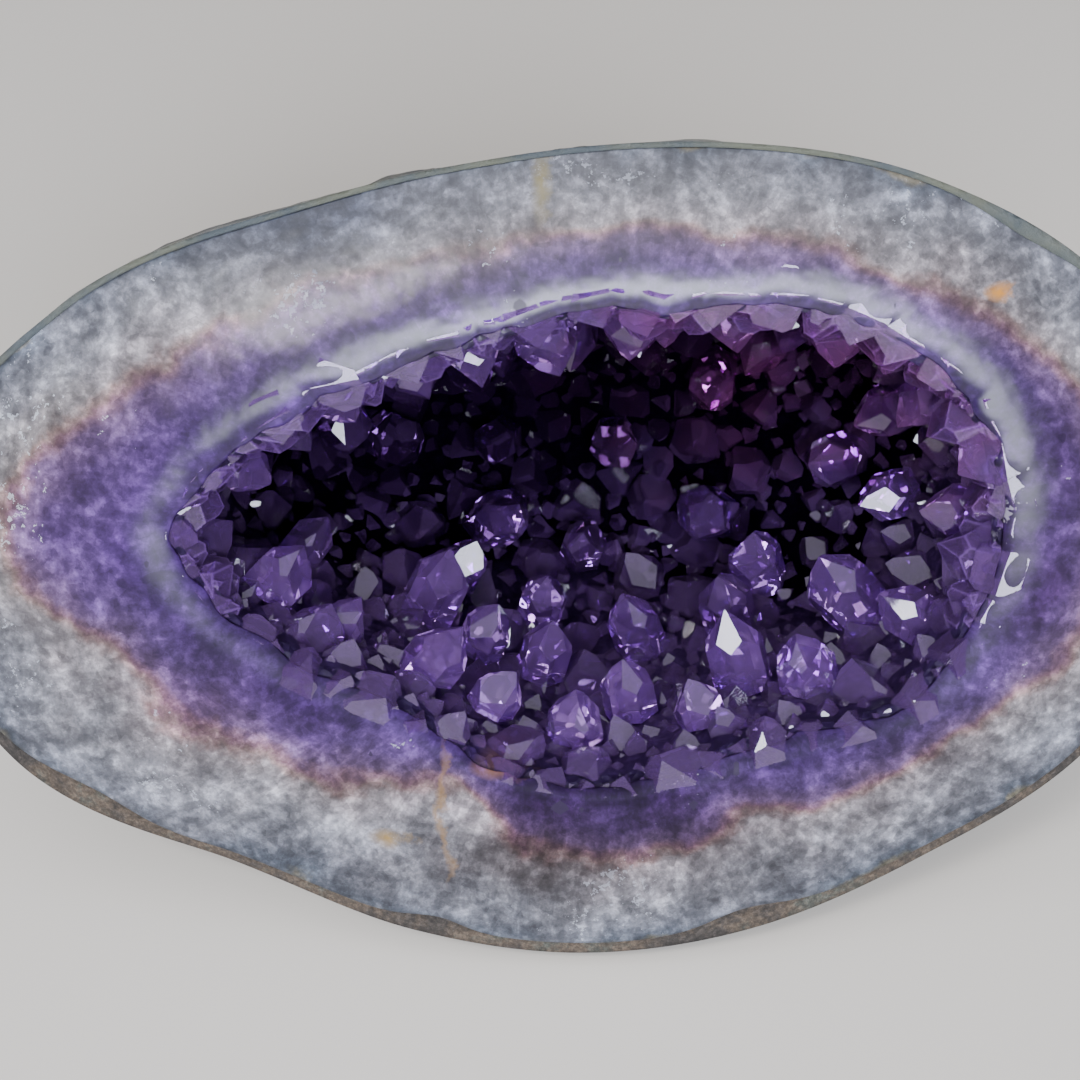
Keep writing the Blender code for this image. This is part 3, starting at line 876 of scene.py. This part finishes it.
def quartz_material():
    """Polished quartz: amethyst near the cavity, a stained scalloped edge, then cloudy grey."""
    nodes = Nodes("quartz_polished")
    here = nodes.position()
    across, up, _ = in_face_frame(nodes)
    zone = nodes.attribute("zone")
    rough = nodes.attribute("rough")
    wobble = nodes.noise(here, *WOBBLE)

    veil_place = nodes.add("ShaderNodeCombineXYZ")
    for slot, (name, stretch) in enumerate(VEIL_SPACE):
        nodes.link(nodes.math("MULTIPLY", nodes.attribute(name), stretch), veil_place.inputs[slot])
    colour = band_colour(nodes, here, zone, wobble)
    colour = clouded(nodes, colour, here, *CLOUDS)
    colour = clouded(nodes, colour, veil_place.outputs[0], *VEIL)
    colour = clouded(nodes, colour, here, *MOTTLE)
    grain = nodes.ramp(nodes.cell_numbers(here, GRAIN_SCALE)[0], GRAIN_GREYS)
    colour = nodes.mix(GRAIN_SHARE, colour, grain, "MULTIPLY")

    # Pale specks: white flecks of the stone and painted glints, more of them in the glitter patches.
    crowd = nodes.noise(here, *SPARK_CROWDS)
    for centre, reach in GLITTER:
        more = nodes.math("MULTIPLY", patch(nodes, across, up, centre, reach, wobble), GLITTER_SHARE)
        crowd = nodes.math("ADD", crowd, more)
    spark = nodes.math("MULTIPLY", nodes.noise(here, *SPARKS), crowd)
    spark = nodes.math("GREATER_THAN", spark, SPARK_LEAST)
    colour = nodes.mix(nodes.math("MULTIPLY", spark, SPARK_SHARE), colour, FLECK_AND_GLINT_COLOUR)
    # Patches of the stone's own tone and of painted shade and painted light.
    for centre, reach, tint in TONE_AND_PAINTED_LIGHT_PATCHES:
        colour = nodes.mix(patch(nodes, across, up, centre, reach, wobble), colour, tint, "MULTIPLY")
    astray = nodes.math("ADD", across, nodes.centred(wobble, STAIN_WANDER))
    for centre, reach, tint, strength in STAINS:
        mask = patch(nodes, astray, up, centre, reach, wobble)
        colour = nodes.mix(nodes.math("MULTIPLY", mask, strength, clamp=True), colour, tint)
    chips = chipped(nodes, here, zone)
    # Painted shade in the chips' hollows.
    colour = nodes.mix(nodes.math("MULTIPLY", chips, CHIP_HOLLOW_SHADE_SHARE), colour, CHIP_HOLLOW_SHADE_COLOUR)
    edge = nodes.math("MULTIPLY", rough, nodes.math("LESS_THAN", zone, 1.0))
    colour = nodes.mix(nodes.math("MULTIPLY", edge, EDGE_SHARE), colour, EDGE_COLOUR)

    face_up = nodes.math("ADD", nodes.math("MULTIPLY", nodes.attribute("round_sin"), 0.5), 0.5)
    # Painted shade: the bed darkens deeper in the cavity, and more on its upper side.
    painted_shade = nodes.math("ADD", nodes.math("MULTIPLY", face_up, -BED_PAINTED_SHADE_ABOVE), -BED_PAINTED_SHADE)
    bed = clouded(nodes, nodes.ramp(nodes.math("MULTIPLY", zone, painted_shade), BED), here, *MOTTLE)
    colour = nodes.mix(nodes.math("MULTIPLY", zone, -BED_START, clamp=True), colour, bed)
    nodes.link(colour, nodes.shader.inputs["Base Color"])

    smooth = nodes.ramp(face_up, ROUGHNESS_BY_HEIGHT)
    matt = nodes.mix(nodes.math("MAXIMUM", rough, chips), smooth, BROKEN_ROUGHNESS)
    nodes.link(matt, nodes.shader.inputs["Roughness"])
    gleam = nodes.math("MULTIPLY", nodes.math("MULTIPLY", face_up, face_up), GLEAM_ABOVE)
    gleam = nodes.math("ADD", gleam, GLEAM_LEAST)
    gleam = nodes.math("SUBTRACT", gleam, nodes.math("MULTIPLY", zone, -BED_MATT, clamp=True), clamp=True)
    nodes.link(gleam, nodes.shader.inputs["Specular IOR Level"])
    nodes.set(Subsurface_Weight=0.3, Subsurface_Scale=0.003, IOR=1.54)
    nodes.shader.inputs["Subsurface Radius"].default_value = (1.0, 0.9, 1.2)

    lip_only = nodes.math("MULTIPLY", rough, nodes.math("GREATER_THAN", zone, 0.0))
    broken = nodes.math("MULTIPLY", lip_only, LIP_CRUMBS)
    broken = nodes.math("ADD", broken, nodes.math("MULTIPLY", spark, SPARK_CRUMBS))
    crumbs = nodes.math("MULTIPLY", nodes.voronoi(here, CRUMB_SCALE), broken)
    waves = nodes.math("MULTIPLY", nodes.noise(here, *WAVES), WAVE_HEIGHT)
    nodes.bump(nodes.math("ADD", crumbs, waves), 0.9, 0.0012)
    return nodes.material


RIND_COLOURS = (
    (0.30, (0.030, 0.027, 0.025)),
    (0.45, (0.060, 0.050, 0.042)),
    (0.54, (0.115, 0.085, 0.060)),
    (0.62, (0.080, 0.085, 0.070)),
    (0.74, (0.21, 0.17, 0.125)),
)
RIND_PATCHES = (70.0, 8, 0.72)
GRIT = ((1300.0, 4, 0.8), 0.9, ((0.35, 0.45), (0.5, 0.95), (0.65, 1.9)))
WORN_PATCHES = (90.0, 4)
WORN_COLOURS = ((0.4, (0.10, 0.12, 0.13)), (0.6, (0.16, 0.17, 0.13)))
WORN_ROUGHNESS = ((0.0, 0.8), (1.0, 0.25))
CRUST_GRAIN = (650.0, 8, 0.75)
CRUST_CELLS = 330.0


def rind_material():
    """Weathered basalt crust, near-black and brown, ground to grey along the top of the rim."""
    nodes = Nodes("rind_stone")
    here = nodes.position()
    worn = nodes.attribute("worn")
    colour = nodes.ramp(nodes.noise(here, *RIND_PATCHES), RIND_COLOURS)
    colour = clouded(nodes, colour, here, *GRIT)
    colour = nodes.mix(worn, colour, nodes.ramp(nodes.noise(here, *WORN_PATCHES), WORN_COLOURS))
    nodes.link(colour, nodes.shader.inputs["Base Color"])
    nodes.link(nodes.ramp(worn, WORN_ROUGHNESS), nodes.shader.inputs["Roughness"])
    crust = nodes.math("ADD", nodes.noise(here, *CRUST_GRAIN), nodes.voronoi(here, CRUST_CELLS))
    nodes.bump(crust, 0.85, 0.0011)
    return nodes.material


# The crystals' colours from the darkest tone to the lightest.
AMETHYST = (
    (0.00, (0.075, 0.022, 0.135)),
    (0.22, (0.30, 0.12, 0.50)),
    (0.45, (0.54, 0.27, 0.80)),
    (0.80, (0.60, 0.31, 0.88)),
    (1.00, (0.70, 0.50, 0.90)),
)
TONE = 0.40                     # the tone at the mouth, before what follows is added
TONE_WOBBLE = ((90.0, 4, 0.6), 0.4)
TONE_CELLS = (260.0, 0.3)
PAINTED_LIGHT_PART = ((24.0, 10.0), (38.0, 24.0), 0.3)   # a patch painted lighter on the right of the cavity, where more light reaches: centre, reach and strength
CAVITY_PAINTED_SHADE = 0.8                     # painted shade taken off the tone at the cavity's full depth
CAVITY_PAINTED_SHADE_LESS = 0.6                # less of the painted shade LOW_REACH below the crown, where the floor is lit
LOW_REACH = 35.0
# A redder patch at the cavity's right: partly the crystals' own colour, partly a painted glow of light
# through them.
RED_PART = ((26.0, 14.0), (34.0, 20.0))
RED_TINT = (1.5, 0.75, 0.8)
# Painted light: the lip crystals' edges paler violet, as if lit through.
EDGE_GLOW = 0.6
GLOW_COLOUR = (0.40, 0.17, 0.76)
CLEAR = 0.92
EDGE_CLOUDY = 0.16


def amethyst_material():
    """Clear violet quartz, paler near the mouth, with painted shade that makes it almost black at the
    cavity's back.
    """
    nodes = Nodes("amethyst")
    here = nodes.position()
    across, up, out = in_face_frame(nodes)
    noise, share = TONE_WOBBLE
    wobble = nodes.noise(here, *noise)
    scale, cell_share = TONE_CELLS
    tone = nodes.math("MULTIPLY", nodes.cell_numbers(here, scale)[0], cell_share)
    tone = nodes.math("ADD", tone, nodes.math("MULTIPLY", wobble, share))
    # Painted light: less dark on the right of the cavity.
    centre, reach, strength = PAINTED_LIGHT_PART
    light = patch(nodes, across, up, centre, reach, wobble)
    tone = nodes.math("ADD", tone, nodes.math("MULTIPLY", light, strength))
    # Painted shade: darker deeper in the cavity, less so on its floor.
    depth = nodes.math("MULTIPLY", out, -1.0 / CAVITY_DEPTH)
    low = nodes.math("MULTIPLY", up, -1.0 / LOW_REACH)
    painted_shade = nodes.math("SUBTRACT", CAVITY_PAINTED_SHADE, nodes.math("MULTIPLY", low, CAVITY_PAINTED_SHADE_LESS))
    painted_shade = nodes.math("MULTIPLY", depth, painted_shade)
    colour = nodes.ramp(nodes.math("SUBTRACT", nodes.math("ADD", tone, TONE), painted_shade), AMETHYST)
    edge = nodes.attribute("edge")
    # Painted light: a paler violet along the lip crystals' edges.
    colour = nodes.mix(nodes.math("MULTIPLY", edge, EDGE_GLOW), colour, GLOW_COLOUR)
    # Partly the crystals' redder colour, partly a painted glow of light through them.
    colour = nodes.mix(patch(nodes, across, up, *RED_PART, wobble), colour, RED_TINT, "MULTIPLY")
    nodes.link(colour, nodes.shader.inputs["Base Color"])
    clear = nodes.math("SUBTRACT", CLEAR, nodes.math("MULTIPLY", edge, EDGE_CLOUDY))
    nodes.link(clear, nodes.shader.inputs["Transmission Weight"])
    nodes.set(Roughness=0.03, IOR=1.55)
    return nodes.material


def floor_material():
    nodes = Nodes("pale_floor")
    nodes.set(Base_Color=(0.66, 0.62, 0.55, 1.0), Roughness=0.6)
    return nodes.material


# ---------------------------------------------------------------- stage
# A long window low in front, a small one high on the left, a wide ceiling and a small lamp that the
# crystals glint in: place, size, power in watts and colour, all aimed at LIGHT_TARGET, in metres.
LIGHTS = (
    ("window", (0.12, -1.08, 0.61), (0.88, 0.42), 27.5, (0.82, 0.87, 1.0)),
    ("side_window", (-0.62, -0.50, 1.27), (0.32, 0.16), 5.0, (0.88, 0.90, 1.0)),
    ("ceiling", (0, -0.1, 1.2), (1.6, 1.2), 10.0, (0.90, 0.90, 1.0)),
    ("lamp", (-0.35, -0.45, 0.95), (0.22, 0.22), 3.0, (1.0, 0.97, 0.93)),
)
LIGHT_TARGET = (0, -0.01, 0.06)
SKY_COLOUR = (0.75, 0.77, 0.8, 1)
SKY_STRENGTH = 0.2
FLOOR_WIDTH = 6.0


def build_floor():
    bpy.ops.mesh.primitive_plane_add(size=FLOOR_WIDTH)
    floor = bpy.context.object
    floor.name = "floor"
    floor.data.materials.append(floor_material())


def area_light(name, place, size, power, colour):
    light = bpy.data.lights.new(name, "AREA")
    light.shape = "RECTANGLE"
    light.size, light.size_y = size
    light.energy = power
    light.color = colour
    thing = bpy.data.objects.new(name, light)
    thing.location = place
    aim = Vector(LIGHT_TARGET) - Vector(place)
    thing.rotation_euler = aim.to_track_quat("-Z", "Y").to_euler()
    bpy.context.scene.collection.objects.link(thing)


def build_lights():
    for light in LIGHTS:
        area_light(*light)
    world = bpy.data.worlds.new("studio")
    world.use_nodes = True
    background = world.node_tree.nodes["Background"]
    background.inputs["Color"].default_value = SKY_COLOUR
    background.inputs["Strength"].default_value = SKY_STRENGTH
    bpy.context.scene.world = world


def build_camera():
    tilt = math.radians(CAMERA_ELEVATION)
    forward = Vector((0, math.cos(tilt), -math.sin(tilt)))
    up = Vector((0, math.sin(tilt), math.cos(tilt)))
    aim = FACE_ORIGIN - Vector((FACE_OFF_CENTRE[0], 0, 0)) - up * FACE_OFF_CENTRE[1]
    camera = bpy.data.cameras.new("camera")
    camera.sensor_width = 36.0
    camera.lens = camera.sensor_width * FOCAL_SHARE
    camera.clip_start = 0.01
    thing = bpy.data.objects.new("camera", camera)
    thing.location = (aim - forward * CAMERA_DISTANCE) * MM
    thing.rotation_euler = forward.to_track_quat("-Z", "Y").to_euler()
    bpy.context.scene.collection.objects.link(thing)
    bpy.context.scene.camera = thing


def dress(piece, material):
    piece.data.materials.clear()
    piece.data.materials.append(material)
    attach(piece, "root")


def main():
    build_camera()
    build_lights()
    build_floor()
    amethyst = amethyst_material()
    quartz = quartz_material()
    wall = build_wall()
    dress(wall, quartz)
    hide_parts("quartz_wall")
    rind = build_rind()
    dress(rind, rind_material())
    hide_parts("rind")
    for piece in build_druse() + [build_lip_crystals()]:
        dress(piece, amethyst)
    for name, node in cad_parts.items():
        if name.startswith("crystal"):
            node.data.materials.clear()
            node.data.materials.append(amethyst)


main()
